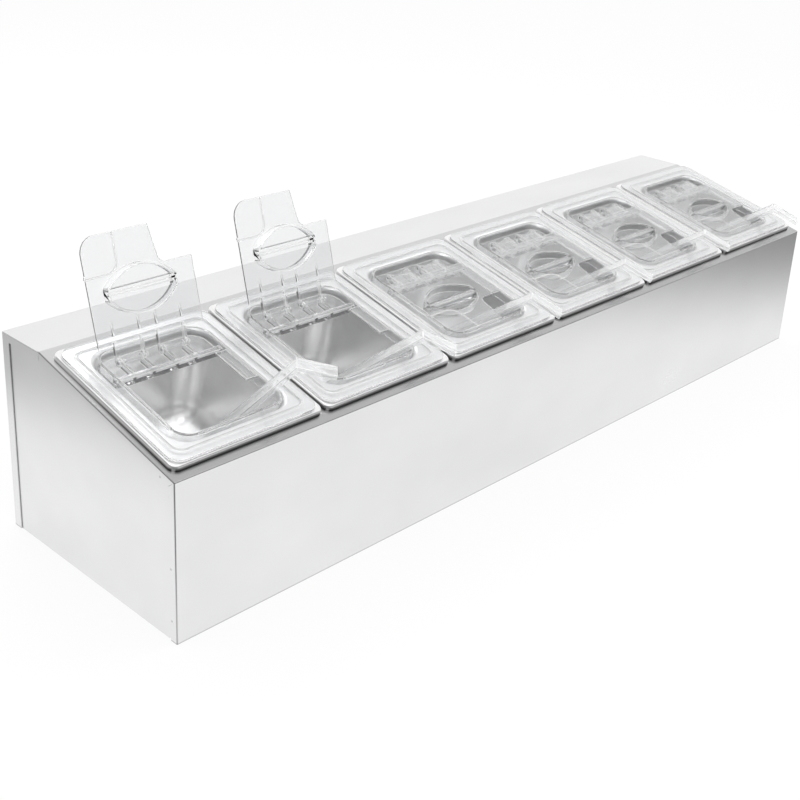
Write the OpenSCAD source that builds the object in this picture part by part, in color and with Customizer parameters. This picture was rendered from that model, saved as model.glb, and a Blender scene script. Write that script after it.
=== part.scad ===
// Countertop condiment caddy: a sloping sheet steel housing that holds six drop-in
// pans, each with a clear notched lid, a hinged flap with a grip, and a ladle.
// Frame: X along the housing to the right, Y to the back, Z up. The origin is on
// the floor, in the middle of the hem under the front panel.
// Station frame: u along the housing from a pan's left edge, v up the slope from
// the pan's front edge, h square to the deck from its top surface.

/* [Housing] */
// Height of the front panel
front_h = 152; // [135:1:200]
// How much higher the back shelf is than the front edge
deck_rise = 46; // [20:1:90]
// Depth of the level shelf behind the pans
shelf_d = 60; // [30:1:120]
// Deck left bare in front of the pans
front_ledge = 9.5; // [7:0.5:30]
// Deck left bare behind the pans
rear_ledge = 10; // [7:0.5:30]
// Deck left bare beside the first and the last pan
end_margin = 5.5; // [4:0.5:40]
// Gap between neighbouring pans
pan_gap = 3.4; // [2:0.2:20]
// Thickness of the housing's sheet steel
sheet_t = 1.2; // [0.8:0.1:2]
// Width of the folded flanges that lap the end panels
flange_w = 8; // [5:0.5:14]
// Width of the back panel's flanges that lap the end panels
back_flange_w = 10; // [5:0.5:20]
// Width of the hem turned in along the bottom
hem_w = 12; // [5:0.5:20]
// How far a deck cut-out lies inside its pan's edge
seat_w = 12; // [6:0.5:14]

/* [Pans] */
// Width of a pan over its rim, along the housing
pan_w = 162; // [158:1:200]
// Length of a pan over its rim, up the slope
pan_l = 176; // [174:1:220]
// Depth of a pan from its rim to its underside
pan_depth = 100; // [85:1:125]
// Height of the rim's turned-down edge
rim_h = 5; // [3:0.5:8]
// Thickness of a pan's sheet
pan_t = 1; // [0.8:0.1:1.5]
// Corner radius of a pan's rim
rim_r = 8; // [4:0.5:14]
// Distance from a pan's edge to its inner wall at the top
wall_in = 20; // [17:0.5:21]
// How much a pan's wall leans in on each side
wall_draft = 5; // [2:0.5:8]
// Radius of a pan's bottom edges and corners
bowl_r = 22; // [18:1:26]

/* [Lid frames] */
// How far a lid's edge lies inside the pan's edge
lid_inset = 3; // [1:0.5:5]
// Corner radius of a lid
lid_r = 12; // [6:1:16]
// Thickness of the clear plastic
lid_t = 2; // [1.5:0.1:2.4]
// Height of a lid's raised middle over its seat
lid_rise = 3.7; // [3.2:0.1:5]
// Width of the low border round a lid
border_w = 8; // [4:0.5:10]
// Distance from a pan's left edge to the lid's opening
mouth_side = 26; // [25:0.5:30]
// Distance from a pan's right edge to the lid's opening
mouth_far_side = 24; // [23:0.5:28]
// Distance from a pan's front edge to the lid's opening
mouth_front = 24; // [23:0.5:28]
// Front corner radius of the opening
mouth_r = 16; // [14:1:20]
// Width of the bar between the opening and the hinge well
bar_w = 6; // [4:0.5:7]
// Distance from the hinge's axis to the front of that bar
bar_reach = 22.5; // [21:0.5:24]
// Distance from the hinge's axis to the back of the well
well_back = 14.5; // [13:0.5:16]
// Rear corner radius of the hinge well
well_r = 15; // [14:1:16]
// Depth of the hinge well under the lid's top
well_depth = 10; // [9.5:0.5:12]
// Width of the ledge under the flap's right edge
ledge_w = 12; // [6:0.5:14]
// Width of the lip under the flap's left and front edges
lip_w = 3; // [2:0.5:6]
// Bare wall left at either end of the ledge, and of the lips
ledge_end = 4; // [3:0.5:8]

/* [Flaps] */
// Distance from a pan's front edge to the hinge's axis
axis_v = 136.5; // [134:0.5:138]
// Depth of the hinge's axis under the flap's top
axis_drop = 3.9; // [3.6:0.1:4.2]
// Thickness of a flap
flap_t = 2.2; // [1.5:0.1:2.4]
// How far a flap's back edge reaches past the lid's bar
flap_lap = 2; // [1:0.5:3]
// Gap round a flap in its opening
flap_gap = 0.5; // [0.3:0.1:1]
// Angle to which a flap opens, where it rests
open_angle = 119; // [95:1:125]
// Width of the ladle notch at the flap's front edge
notch_w = 40.5; // [36:0.5:44]
// Depth of the ladle notch from the flap's front edge
notch_l = 36.5; // [32:0.5:40]
// Lean of the notch's long edge
notch_lean = 9; // [0:1:12]
// Corner radius of the notch and of its outline
notch_r = 8; // [4:1:12]
// Length of the grip across the flap
grip_l = 71; // [60:1:78]
// Width of the grip
grip_w = 44; // [36:1:46]
// Distance from a pan's front edge to the middle of the grip
grip_v = 77; // [75:1:80]
// Distance from the flap's left edge to the grip
grip_in = 14.5; // [10:0.5:20]
// Width of the grip's cross bar
grip_bar = 6; // [4:0.5:9]
// How far the cross bar lies in front of the grip's middle
grip_bar_off = 2; // [0:0.5:4]
// Depth of the grip's finger pockets
grip_depth = 9; // [6:0.5:10]
// How much narrower than the notch its raised outline on the left is
ridge_less = 6; // [0:1:10]
// Corner radius of that raised outline
ridge_r = 12; // [6:1:16]
// Height of the outline ridge on the flap
ridge_h = 0.5; // [0.3:0.1:1]
// Width of the outline ridge on the flap
ridge_w = 1.2; // [0.8:0.1:2]

/* [Hinges] */
// Width of a hinge knuckle over its two arms
knuckle_w = 30; // [24:1:34]
// Distance from the flap's left edge to the first knuckle
knuckle_in = 14.5; // [10:0.5:18]
// Distance between the two knuckles' left faces
knuckle_pitch = 45; // [38:1:48]
// Thickness of an arm or a lug
arm_t = 3; // [2:0.5:4]
// How far an arm reaches under the flap
arm_lap = 4; // [2:0.5:6]
// Radius of a hinge pin
pin_r = 1.5; // [1:0.1:2]
// Running clearance round a pin in an arm, on the radius
pin_clear = 0.08; // [0.03:0.01:0.1]
// Side gap between an arm and its lug
arm_gap = 0.4; // [0.3:0.1:0.8]
// Gap between the hinge's axis and the web that joins two arms
web_gap = 4.5; // [4.5:0.5:7]
// Length of the stiffening ribs in front of the arms
rib_l = 14; // [8:1:18]
// Thickness of a stiffening rib
rib_t = 2; // [1:0.2:2.6]
// Height of a stiffening rib at its back end
rib_h = 2.5; // [1.5:0.1:2.8]

/* [Ladles] */
// Length of a ladle's stem from its bowl to the bend
stem_l = 153; // [140:1:165]
// Length of a ladle's tip past the bend
tip_l = 36; // [24:1:44]
// Angle by which the tip turns down from the stem
tip_turn = 60.6; // [30:1:80]
// Width of a ladle's handle
stem_w = 15; // [10:0.5:16]
// Depth of the handle's channel section
stem_depth = 5; // [3:0.5:6]
// Thickness of a ladle's plastic
ladle_t = 1.8; // [1.2:0.1:2.2]
// Outer radius of a ladle's bowl
scoop_r = 16; // [12:0.5:16.5]
// Distance from a pan's right edge to where a ladle leaves the pan
exit_side = 47; // [44:0.5:52]
// Distance from the opening's front to where a ladle leaves the pan
exit_front = 18; // [14:0.5:20]

/* [Hidden] */
$fn = 64;
eps = 0.01;

// gap left between two pieces that rest on each other and can part
rest_gap = 0.3;
// how far a shape that cuts reaches past the surface it cuts
past = 1;

// housing
stations = 6;
pitch = pan_w + pan_gap;
body_l = 2 * end_margin + stations * pan_w + (stations - 1) * pan_gap;
slope_l = front_ledge + pan_l + rear_ledge;
slope_run = sqrt(slope_l * slope_l - deck_rise * deck_rise);
slope_a = asin(deck_rise / slope_l);
back_h = front_h + deck_rise;
body_d = slope_run + shelf_d;
front_y = -hem_w / 2;
back_y = front_y + body_d;
cut_r = 20;

// heights over the deck, at a station
lid_seat = rim_h + rest_gap;
lid_top = lid_seat + lid_rise;
flap_bottom = lid_top - flap_t;
ledge_top = flap_bottom - rest_gap;
axis_h = lid_top - axis_drop;
bar_top = axis_h - 2 * rest_gap;
well_floor = lid_top - well_depth;
pan_floor = rim_h - pan_depth + pan_t;

// places along a station
mouth_right = pan_w - mouth_far_side;
bar_front = axis_v - bar_reach;
bar_back = bar_front + bar_w;
well_end = axis_v + well_back;
flap_back = bar_back + flap_lap;
flap_front = mouth_front + flap_gap;
flap_left = mouth_side + flap_gap;
flap_right = mouth_right - flap_gap;
flap_w = flap_right - flap_left;
knuckle_u = [flap_left + knuckle_in, flap_left + knuckle_in + knuckle_pitch];
grip_u = flap_left + grip_in + grip_l / 2;
notch_back = flap_front + notch_l;
skirt_bottom = well_floor - lid_t;
// small stop on the flap's left edge, and how far it stands out
nub_w = 4;
nub_out = 1;
// how far the points of the grip's lens would lie past its blunt ends
grip_point = 4;

// ladles: where each stem passes the level exit_h, and where its bowl stands
// on the pan's floor, from the pan's left and back edges
exit_h = 3;
exit_left = [6, 3, 0, 0, 0, 0];
exit_fore = [1, 2, 0, 0, 0, 0];
scoop_side = [58, 47, 62, 62, 62, 62];
scoop_back = [90, 68, 53, 53, 53, 53];
scoop_h = pan_floor + rest_gap + scoop_r;
scoop_turn = 45;
scoop_set = scoop_r * sin(scoop_turn);
scoop_lap = scoop_r / 2;

steel = "gainsboro";
pan_steel = "silver";
clear_lid = [0.90, 0.94, 0.97, 0.35];
clear_flap = [0.84, 0.92, 0.97, 0.35];
clear_ladle = [0.95, 0.97, 0.99, 0.45];

// the way from ladle i's bowl to its exit, in plan, and the stem's turn and slope
function stem_run(i) =
    [pan_w - exit_side - exit_left[i - 1] - scoop_side[i - 1],
     mouth_front + exit_front - exit_fore[i - 1] - pan_l + scoop_back[i - 1]];
function stem_turn(i) = atan2(stem_run(i)[1], stem_run(i)[0]);
function stem_slope(i) =
    let (run = norm(stem_run(i)), rise = exit_h - scoop_h)
    atan2(rise, run) + asin(scoop_set / norm([run, rise]));

// which flaps rest open
function is_open(i) = i <= 2;

// side outline of the housing, taken in by d on its front, deck and shelf
function deck_z(y, d) = front_h + y * tan(slope_a) - d / cos(slope_a);
function shelf_y(d) = (deck_rise - d + d / cos(slope_a)) / tan(slope_a);
function outline(d, back) =
    [[d, 0], [d, deck_z(d, d)], [shelf_y(d), back_h - d], [back, back_h - d], [back, 0]];

// rectangle from corner a to corner b with round corners
module round_rect(a, b, r) {
    translate([a[0] + r, a[1]])
        square([b[0] - a[0] - 2 * r, b[1] - a[1]]);
    translate([a[0], a[1] + r])
        square([b[0] - a[0], b[1] - a[1] - 2 * r]);
    for (x = [a[0] + r, b[0] - r], y = [a[1] + r, b[1] - r])
        translate([x, y])
            circle(r = r);
}

// plate between two heights
module plate(low, high) {
    translate([0, 0, low])
        linear_extrude(height = high - low)
            children();
}

// box from corner a to corner b
module block(a, b) {
    translate(a)
        cube([b[0] - a[0], b[1] - a[1], b[2] - a[2]]);
}

// side plate of the housing, stood at x, of thickness t
module side_plate(x, t) {
    translate([x, front_y, 0])
        rotate([90, 0, 90])
            linear_extrude(height = t)
                children();
}

// the deck's own frame, and the frame of station i
module on_deck() {
    translate([-body_l / 2, front_y, front_h])
        rotate([slope_a, 0, 0])
            children();
}

module at_station(i) {
    on_deck()
        translate([end_margin + (i - 1) * pitch, front_ledge, 0])
            children();
}

// ---- housing ----

module front_and_deck() {
    color(steel)
        difference() {
            union() {
                side_plate(-body_l / 2, body_l)
                    difference() {
                        polygon(outline(0, body_d));
                        polygon(outline(sheet_t, body_d + past));
                        translate([sheet_t, -past])
                            square([body_d, past + eps]);
                    }
                side_plate(-body_l / 2, body_l)
                    translate([sheet_t - eps, 0])
                        square([hem_w - sheet_t, sheet_t]);
                for (x = [-body_l / 2, body_l / 2 - sheet_t])
                    side_plate(x, sheet_t)
                        difference() {
                            polygon(outline(0, body_d));
                            polygon(outline(flange_w, body_d + past));
                            translate([flange_w, -past])
                                square([body_d, 2 * past]);
                        }
            }
            on_deck()
                for (i = [0 : stations - 1])
                    translate([end_margin + i * pitch, front_ledge, 0])
                        plate(-sheet_t - past, past)
                            round_rect([seat_w, seat_w], [pan_w - seat_w, pan_l - seat_w], cut_r);
        }
}

module back_panel() {
    inner_l = body_l - 2 * sheet_t;
    color(steel)
        union() {
            block([-inner_l / 2, back_y - sheet_t, 0], [inner_l / 2, back_y, back_h - sheet_t]);
            block([-inner_l / 2, back_y - hem_w, 0], [inner_l / 2, back_y - eps, sheet_t]);
            for (side = [0, 1])
                mirror([side, 0, 0])
                    block([inner_l / 2, back_y - back_flange_w, 0],
                          [body_l / 2, back_y, back_h - flange_w]);
        }
}

module end_panel(side) {
    color(steel)
        mirror([side, 0, 0])
            side_plate(-body_l / 2 + sheet_t, sheet_t)
                difference() {
                    polygon(outline(sheet_t, body_d - sheet_t));
                    for (y = [0, body_d - hem_w])
                        translate([y, -past])
                            square([hem_w, sheet_t + past]);
                }
}

// ---- pans ----

// drawn tub with a wall at distance side from the rim's edge and its bottom at low
module tub(side, low, r) {
    foot = side + wall_draft + r;
    $fn = 36;
    hull() {
        plate(rim_h - eps, rim_h)
            round_rect([side, side], [pan_w - side, pan_l - side], r);
        for (x = [foot, pan_w - foot], y = [foot, pan_l - foot])
            translate([x, y, low + r])
                sphere(r = r);
    }
}

module pan(i) {
    color(pan_steel)
        at_station(i)
            difference() {
                union() {
                    plate(rim_h - pan_t, rim_h)
                        round_rect([0, 0], [pan_w, pan_l], rim_r);
                    plate(rest_gap, rim_h)
                        difference() {
                            round_rect([0, 0], [pan_w, pan_l], rim_r);
                            round_rect([pan_t, pan_t], [pan_w - pan_t, pan_l - pan_t], rim_r - pan_t);
                        }
                    tub(wall_in - pan_t, pan_floor - pan_t, bowl_r + pan_t);
                }
                tub(wall_in, pan_floor, bowl_r);
                plate(rim_h - eps, rim_h + past)
                    round_rect([wall_in, wall_in], [pan_w - wall_in, pan_l - wall_in], bowl_r);
            }
}

// ---- lid frames ----

// outline of the flap's opening in the lid, grown by d all round
module mouth(d) {
    intersection() {
        round_rect([mouth_side - d, mouth_front - d], [mouth_right + d, bar_front + 2 * mouth_r], mouth_r + d);
        square([pan_w, bar_front]);
    }
}

// outline of the hinge well, grown by d all round
module well(d) {
    round_rect([mouth_side - d, bar_back - 2 * well_r], [mouth_right + d, well_end + d], well_r + d);
}

// the part of the well behind the bar
module well_behind_bar(d) {
    intersection() {
        well(d);
        translate([0, bar_back])
            square([pan_w, pan_l]);
    }
}

module hinge_lug(u) {
    difference() {
        union() {
            block([u, bar_back - eps, well_floor - eps], [u + arm_t, axis_v, axis_h]);
            translate([u, axis_v, axis_h])
                rotate([0, 90, 0])
                    cylinder(r = axis_drop - 2 * rest_gap, h = arm_t);
        }
        translate([u - past, axis_v, axis_h])
            rotate([0, 90, 0])
                cylinder(r = pin_r, h = arm_t + 2 * past);
    }
}

module lid_frame(i) {
    step = lid_inset + border_w;
    color(clear_lid)
        at_station(i)
            union() {
                difference() {
                    union() {
                        plate(lid_seat, lid_seat + lid_t)
                            round_rect([lid_inset, lid_inset],
                                       [pan_w - lid_inset, pan_l - lid_inset], lid_r);
                        plate(lid_seat, lid_top)
                            round_rect([step, step], [pan_w - step, pan_l - step], lid_r);
                        plate(skirt_bottom, lid_top) {
                            mouth(lid_t);
                            well(lid_t);
                        }
                    }
                    plate(lid_seat - past, lid_top - lid_t)
                        difference() {
                            round_rect([step + lid_t, step + lid_t],
                                       [pan_w - step - lid_t, pan_l - step - lid_t], lid_r - lid_t);
                            mouth(lid_t);
                            well(lid_t);
                        }
                    plate(skirt_bottom - past, lid_top + past)
                        mouth(0);
                    plate(well_floor, lid_top + past)
                        well_behind_bar(0);
                    plate(bar_top, lid_top + past)
                        translate([mouth_side, bar_front - eps])
                            square([mouth_right - mouth_side, bar_w + 2 * eps]);
                    plate(flap_bottom - rest_gap, lid_top + past)
                        translate([mouth_side - nub_out - flap_gap, notch_back - nub_w])
                            square([nub_out + flap_gap + past, nub_w + 2 * flap_gap]);
                }
                // ledge under the flap's right edge
                block([mouth_right - ledge_w, notch_back + ledge_end, ledge_top - lid_t],
                      [mouth_right + eps, bar_front - ledge_end, ledge_top]);
                // lips under the flap's left and front edges
                block([mouth_side - eps, mouth_front + mouth_r, ledge_top - lid_t],
                      [mouth_side + lip_w, bar_front - ledge_end, ledge_top]);
                block([mouth_side + mouth_r, mouth_front - eps, ledge_top - lid_t],
                      [flap_right - notch_w - ledge_end, mouth_front + lip_w, ledge_top]);
                for (k = knuckle_u) {
                    hinge_lug(k + arm_t + arm_gap);
                    hinge_lug(k + knuckle_w - 2 * arm_t - arm_gap);
                }
            }
}

module hinge_pins(i) {
    color(clear_lid)
        at_station(i)
            for (k = knuckle_u)
                translate([k, axis_v, axis_h])
                    rotate([0, 90, 0])
                        cylinder(r = pin_r, h = knuckle_w);
}

// ---- flaps ----

// lens shape of the grip, taken in by d all round
module grip_outline(d) {
    half_l = grip_l / 2 + grip_point;
    half_w = grip_w / 2;
    arc_r = (half_l * half_l + half_w * half_w) / (2 * half_w);
    translate([grip_u, grip_v])
        intersection() {
            translate([0, arc_r - half_w])
                circle(r = arc_r - d, $fn = 128);
            translate([0, half_w - arc_r])
                circle(r = arc_r - d, $fn = 128);
            square([grip_l - 2 * d, grip_w], center = true);
        }
}

// area of the ladle notch at the flap's front right corner
module notch_area() {
    left = flap_right - notch_w;
    bend_v = notch_back - notch_r;
    bend_u = left + (bend_v - flap_front) * tan(notch_lean) + notch_r / cos(notch_lean);
    translate([bend_u, bend_v])
        circle(r = notch_r);
    polygon([[left - past * tan(notch_lean), flap_front - past],
             [flap_right + past, flap_front - past],
             [flap_right + past, notch_back],
             [bend_u, notch_back],
             [bend_u, bend_v],
             [bend_u - notch_r * cos(notch_lean), bend_v + notch_r * sin(notch_lean)]]);
}

// outline of a flap without its notch, taken in by d
module flap_outline(d) {
    r = mouth_r - flap_gap;
    difference() {
        translate([flap_left + d, flap_front + d])
            square([flap_w - 2 * d, flap_back - flap_front - 2 * d]);
        translate([flap_left - past, flap_front - past])
            square([r + past, r + past]);
    }
    translate([flap_left + r, flap_front + r])
        circle(r = r - d);
}

// raised outline that mirrors the notch on the left
module ridge() {
    corner = [flap_left - notch_w / 2, flap_front - notch_w / 2];
    far = [flap_left + notch_w - ridge_less, notch_back];
    intersection() {
        flap_outline(ridge_w);
        difference() {
            round_rect(corner, far, ridge_r);
            round_rect(corner, far - [ridge_w, ridge_w], ridge_r - ridge_w);
        }
    }
}

module knuckle_arm(u) {
    difference() {
        union() {
            block([u, flap_back - arm_lap, axis_h], [u + arm_t, axis_v, lid_top]);
            translate([u, axis_v, axis_h])
                rotate([0, 90, 0])
                    cylinder(r = axis_drop, h = arm_t);
        }
        translate([u - past, axis_v, axis_h])
            rotate([0, 90, 0])
                cylinder(r = pin_r + pin_clear, h = arm_t + 2 * past);
    }
}

// tapering rib under the flap, in line with an arm
module rib(u) {
    end = bar_front - 2 * flap_gap;
    translate([u + (arm_t - rib_t) / 2, 0, 0])
        rotate([90, 0, 90])
            linear_extrude(height = rib_t)
                polygon([[end - rib_l, flap_bottom + eps],
                         [end, flap_bottom - rib_h],
                         [end, flap_bottom + eps]]);
}

module flap_solid() {
    pocket_floor = lid_top - grip_depth;
    bar_v = grip_v - grip_bar_off;
    union() {
        difference() {
            union() {
                plate(flap_bottom, lid_top)
                    difference() {
                        flap_outline(0);
                        notch_area();
                    }
                plate(pocket_floor - lid_t, lid_top)
                    grip_outline(0);
                plate(lid_top - eps, lid_top + ridge_h)
                    ridge();
                block([flap_left - nub_out, notch_back - nub_w + flap_gap, flap_bottom],
                      [flap_left + eps, notch_back, lid_top]);
            }
            plate(pocket_floor, lid_top + past)
                grip_outline(lid_t);
        }
        // cross bar of the grip
        intersection() {
            plate(pocket_floor - eps, lid_top)
                grip_outline(lid_t - eps);
            block([0, bar_v - grip_bar / 2, pocket_floor - eps],
                  [pan_w, bar_v + grip_bar / 2, lid_top]);
        }
        for (k = knuckle_u) {
            knuckle_arm(k);
            knuckle_arm(k + knuckle_w - arm_t);
            rib(k);
            rib(k + knuckle_w - arm_t);
            block([k + arm_t - eps, flap_back - eps, lid_top - lid_t],
                  [k + knuckle_w - arm_t + eps, axis_v - web_gap, lid_top]);
        }
    }
}

module flip_lid(i) {
    color(clear_flap)
        at_station(i)
            translate([0, axis_v, axis_h])
                rotate([is_open(i) ? -open_angle : 0, 0, 0])
                    translate([0, -axis_v, -axis_h])
                        flap_solid();
}

// ---- ladles ----

// side outline of the handle, its top face on the stem line, depth d
module handle_side(d, stem) {
    along = [cos(tip_turn), -sin(tip_turn)];
    under = [-sin(tip_turn), -cos(tip_turn)];
    tip = [stem, 0] + tip_l * along;
    inner_bend = [stem - d * tan(tip_turn / 2), -d];
    polygon([[0, 0], [stem, 0], tip, tip + d * under, inner_bend, [0, -d]]);
}

// handle along x from the bowl, in its own frame
module handle(stem) {
    rotate([90, 0, 0]) {
        translate([0, 0, -stem_w / 2])
            linear_extrude(height = stem_w)
                handle_side(ladle_t, stem);
        for (z = [-stem_w / 2, stem_w / 2 - ladle_t])
            translate([0, 0, z])
                linear_extrude(height = ladle_t)
                    handle_side(stem_depth, stem);
    }
}

// lower half of a ball, solid until the handle has joined it
module scoop_shell() {
    difference() {
        sphere(r = scoop_r);
        translate([-scoop_r - past, -scoop_r - past, 0])
            cube([2 * (scoop_r + past), 2 * (scoop_r + past), scoop_r + past]);
    }
}

module ladle(i) {
    color(clear_ladle)
        at_station(i)
            translate([scoop_side[i - 1], pan_l - scoop_back[i - 1], scoop_h])
                rotate([0, -stem_slope(i), stem_turn(i)])
                    difference() {
                        union() {
                            translate([scoop_set - scoop_lap, 0, -scoop_set])
                                handle(stem_l + scoop_lap);
                            rotate([0, scoop_turn, 0])
                                scoop_shell();
                        }
                        rotate([0, scoop_turn, 0])
                            sphere(r = scoop_r - ladle_t);
                    }
}

front_and_deck();
back_panel();
end_panel(0);  // left_end_panel
end_panel(1);  // right_end_panel
pan(1);  // pan_1
pan(2);  // pan_2
pan(3);  // pan_3
pan(4);  // pan_4
pan(5);  // pan_5
pan(6);  // pan_6
lid_frame(1);  // lid_frame_1
lid_frame(2);  // lid_frame_2
lid_frame(3);  // lid_frame_3
lid_frame(4);  // lid_frame_4
lid_frame(5);  // lid_frame_5
lid_frame(6);  // lid_frame_6
flip_lid(1);  // flip_lid_1
flip_lid(2);  // flip_lid_2
flip_lid(3);  // flip_lid_3
flip_lid(4);  // flip_lid_4
flip_lid(5);  // flip_lid_5
flip_lid(6);  // flip_lid_6
hinge_pins(1);  // hinge_pins_1
hinge_pins(2);  // hinge_pins_2
hinge_pins(3);  // hinge_pins_3
hinge_pins(4);  // hinge_pins_4
hinge_pins(5);  // hinge_pins_5
hinge_pins(6);  // hinge_pins_6
ladle(1);  // ladle_1
ladle(2);  // ladle_2
ladle(3);  // ladle_3
ladle(4);  // ladle_4
ladle(5);  // ladle_5
ladle(6);  // ladle_6
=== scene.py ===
"""Condiment caddy: a folded steel housing, six drop-in pans, clear notched lids, hinged flaps and ladles."""

from contextlib import contextmanager
from math import asin, atan2, cos, hypot, pi, radians, sin, tan

import bmesh
import bpy
from mathutils import Matrix, Vector


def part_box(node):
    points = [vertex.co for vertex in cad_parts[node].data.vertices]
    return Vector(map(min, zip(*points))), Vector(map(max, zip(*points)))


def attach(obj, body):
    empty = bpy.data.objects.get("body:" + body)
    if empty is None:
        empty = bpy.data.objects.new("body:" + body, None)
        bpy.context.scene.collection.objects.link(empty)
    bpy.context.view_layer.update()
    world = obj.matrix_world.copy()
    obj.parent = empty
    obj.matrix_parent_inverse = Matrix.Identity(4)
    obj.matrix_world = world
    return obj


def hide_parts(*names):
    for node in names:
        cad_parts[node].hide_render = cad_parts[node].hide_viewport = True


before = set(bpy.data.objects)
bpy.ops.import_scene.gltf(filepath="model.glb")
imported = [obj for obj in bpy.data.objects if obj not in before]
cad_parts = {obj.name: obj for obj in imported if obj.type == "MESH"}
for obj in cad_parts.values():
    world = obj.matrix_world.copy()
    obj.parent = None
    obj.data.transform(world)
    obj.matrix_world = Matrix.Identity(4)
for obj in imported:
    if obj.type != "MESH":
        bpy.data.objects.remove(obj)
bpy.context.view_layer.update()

bl_info = {
    "name": "Condiment Caddy",
    "version": (1, 0, 0),
    "blender": (4, 5, 0),
    "location": "View3D > Sidebar > Caddy",
    "description": "Builds a countertop condiment caddy with flip lids and its studio stage",
    "category": "Add Mesh",
}

MM = 0.001
CLOSE = 0.02 * MM  # how near a point lies to the place it is picked by
OVER = MM  # how far a cutter passes what it cuts
STATIONS = range(1, 7)
ARC = 9  # facets in a quarter turn
IMAGE = 800  # the picture's width and height, in pixels
# a bowl's place in its pan, and how far the stem leaves aside of its usual place, in millimetres
LADLE_STAND = ((62, 123), (0, 0))
LADLE_STANDS = {1: ((58, 86), (6, 1)), 2: ((47, 108), (3, 2))}

sheet_low, sheet_high = (Vector(corner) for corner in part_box("front_and_deck"))
pan_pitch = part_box("pan_2")[0][0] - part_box("pan_1")[0][0]


# ---- the sizes and colours that a user would change ----


def length(label, text, millimetres):
    """A size, given in millimetres and kept in metres."""
    return bpy.props.FloatProperty(
        name=label, description=text, default=millimetres * MM,
        precision=5, unit="LENGTH", subtype="DISTANCE",
    )


def angle(label, text, degrees):
    """An angle, given in degrees."""
    return bpy.props.FloatProperty(
        name=label, description=text, default=radians(degrees), unit="ROTATION", subtype="ANGLE",
    )


def share(label, text, value):
    """A share from none to all."""
    return bpy.props.FloatProperty(
        name=label, description=text, default=value, min=0, max=1, subtype="FACTOR",
    )


def colour(label, text, value):
    """A linear colour."""
    return bpy.props.FloatVectorProperty(
        name=label, description=text, default=value, size=3, min=0, max=1, subtype="COLOR",
    )


def pixels(label, text, value):
    """A length in pixels of the picture."""
    return bpy.props.FloatProperty(name=label, description=text, default=value)


class HousingSettings(bpy.types.PropertyGroup):
    """Sizes of the folded sheet housing"""

    front_height: length("Front height", "Height of the front panel", 152)
    shelf: length("Shelf", "Depth of the level shelf behind the pans", 60)
    front_ledge: length("Front ledge", "Deck left bare in front of the pans", 9.5)
    end_margin: length("End margin", "Deck left bare beside the end pans", 5.5)
    sheet: length("Sheet", "Thickness of the sheet steel", 1.2)
    flange: length("Flange", "Width of the flanges that lap the end panels", 8)
    hem: length("Hem", "Width of the hem along the bottom", 12)
    seat: length("Seat", "How far a cut-out lies inside its pan's edge", 12)
    cut_radius: length("Cut-out radius", "Corner radius of a cut-out", 20)
    bend: length("Bend", "Outer radius of the folds", 1.3)
    mitre: length("Mitre gap", "Slit where two flanges meet, at its open end", 0.7)


class PanSettings(bpy.types.PropertyGroup):
    """Sizes of a drawn pan"""

    width: length("Width", "Width over the rim", 162)
    depth: length("Length", "Length over the rim, up the slope", 176)
    drop: length("Depth", "Depth from the rim to the underside", 100)
    rim: length("Rim height", "Height of the turned-down rim", 5)
    rim_radius: length("Rim corner", "Corner radius of the rim", 8)
    rim_fold: length("Rim fold", "Radius where the rim turns down", 2)
    lift: length("Lift", "Gap between the rim and the deck", 0.3)
    sheet: length("Sheet", "Thickness of the drawn sheet", 1)
    wall: length("Wall", "Distance from the edge to the inner wall", 20)
    draft: length("Draft", "How much each wall leans in", 5)
    radius: length("Bottom radius", "Radius of the bottom edges and corners", 22)
    mouth: length("Mouth radius", "Radius between the rim and the wall", 3.5)


class LidSettings(bpy.types.PropertyGroup):
    """Sizes of a clear lid frame"""

    inset: length("Inset", "How far the lid lies inside the pan's edge", 3)
    radius: length("Corner", "Corner radius of the lid", 12)
    wall: length("Wall", "Thickness of the plastic", 2)
    seat: length("Seat", "Height of the lid's underside over the deck", 5.3)
    top: length("Top", "Height of the lid's top over the deck", 9)
    border: length("Border", "Width of the low border", 8)
    left: length("Left edge", "Opening's left edge, from the pan's left", 26)
    right: length("Right edge", "Opening's right edge, from the pan's left", 138)
    front: length("Front edge", "Opening's front edge, from the pan's front", 24)
    bar: length("Bar front", "Front of the bar, from the pan's front", 114)
    bar_width: length("Bar width", "Width of the bar before the hinge well", 6)
    bar_top: length("Bar top", "Height of the bar over the deck", 4.5)
    back: length("Well back", "Back of the hinge well, from the pan's front", 151)
    floor: length("Well floor", "Height of the well's floor over the deck", -1)
    left_radius: length("Front left", "Front left radius of the opening", 16)
    right_radius: length("Front right", "Front right radius of the opening", 15)
    well_radius: length("Well corner", "Rear corner radius of the well", 15)
    ledge: length("Ledge", "Width of the ledge under the flap's right edge", 12)
    lip: length("Lip", "Width of the lips under the flap's other edges", 3)
    ledge_top: length("Ledge top", "Height of the ledge over the deck", 6.5)
    soft: length("Soft edge", "Radius of the moulded edges", 0.5)


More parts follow.
